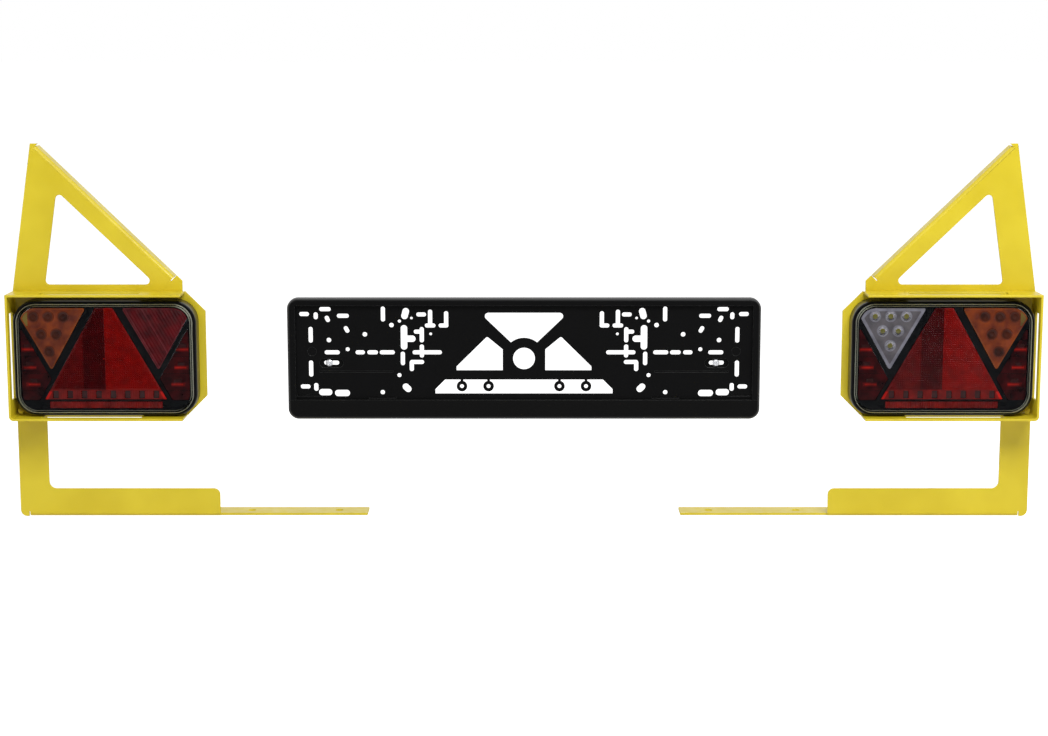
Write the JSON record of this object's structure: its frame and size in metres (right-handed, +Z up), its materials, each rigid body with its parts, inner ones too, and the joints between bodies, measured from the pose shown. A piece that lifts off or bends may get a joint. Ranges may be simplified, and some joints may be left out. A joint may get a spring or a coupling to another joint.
{
  "type": "trailer light kit",
  "caption": "Pair of folded sheet-metal brackets with lamp trays and combination LED rear lamps, and a slotted number-plate holder that sits between them.",
  "frame": {"origin": "midway between the two brackets, level with the underside of their bottom flanges, midway front to back", "axes": "+X to the right as the kit is seen from behind the vehicle, +Y away from the viewer, towards the vehicle, +Z up"},
  "size_m": [1.144, 0.076, 0.422],
  "materials": {
    "yellow_paint": "powder coat, semi-gloss",
    "black_plastic": "moulded, satin",
    "holder_plastic": "moulded, fine grain",
    "strip_plastic": "moulded, satin",
    "seal_rubber": "smooth",
    "clear_cover": "clear polycarbonate, polished",
    "clear_lens": "clear, ribbed inside",
    "red_reflex": "prismatic",
    "red_lens": "tinted, smooth",
    "fog_lens_red": "tinted, smooth",
    "amber_lens": "tinted, smooth",
    "mask_plastic": "polished black",
    "chrome_coat": "vacuum metallised",
    "circuit_board": "solder mask",
    "amber_led": "clear dome",
    "red_led": "clear dome",
    "white_led": "clear dome",
    "zinc_steel": "bright zinc plated"
  },
  "bodies": {
    "root": {"left_bracket_plate": "yellow_paint", "left_lamp_tray": "yellow_paint", "left_lamp_base": "black_plastic", "left_cover_seal": "seal_rubber", "left_lamp_cover": "clear_cover", "left_circuit_board": "circuit_board", "left_led_reflector": "chrome_coat", "left_face_mask": "mask_plastic", "left_triangle_reflector": "red_reflex", "left_indicator_lens": "amber_lens", "left_fog_lens": "fog_lens_red", "left_tail_lenses": "red_lens", "left_stop_strip": "red_reflex", "left_indicator_leds": "amber_led", "left_fog_leds": "red_led", "left_tail_leds": "red_led", "left_fixing_studs": "zinc_steel", "left_washers": "zinc_steel", "left_nuts": "zinc_steel", "left_cable_gland": "black_plastic", "right_bracket_plate": "yellow_paint", "right_lamp_tray": "yellow_paint", "right_lamp_base": "black_plastic", "right_cover_seal": "seal_rubber", "right_lamp_cover": "clear_cover", "right_circuit_board": "circuit_board", "right_led_reflector": "chrome_coat", "right_face_mask": "mask_plastic", "right_triangle_reflector": "red_reflex", "right_indicator_lens": "amber_lens", "right_reversing_lens": "clear_lens", "right_tail_lenses": "red_lens", "right_stop_strip": "red_reflex", "right_indicator_leds": "amber_led", "right_reversing_leds": "white_led", "right_tail_leds": "red_led", "right_fixing_studs": "zinc_steel", "right_washers": "zinc_steel", "right_nuts": "zinc_steel", "right_cable_gland": "black_plastic", "plate_holder_base": "holder_plastic", "retaining_strip": "strip_plastic", "holder_screws": "zinc_steel"}
  },
  "joints": []
}
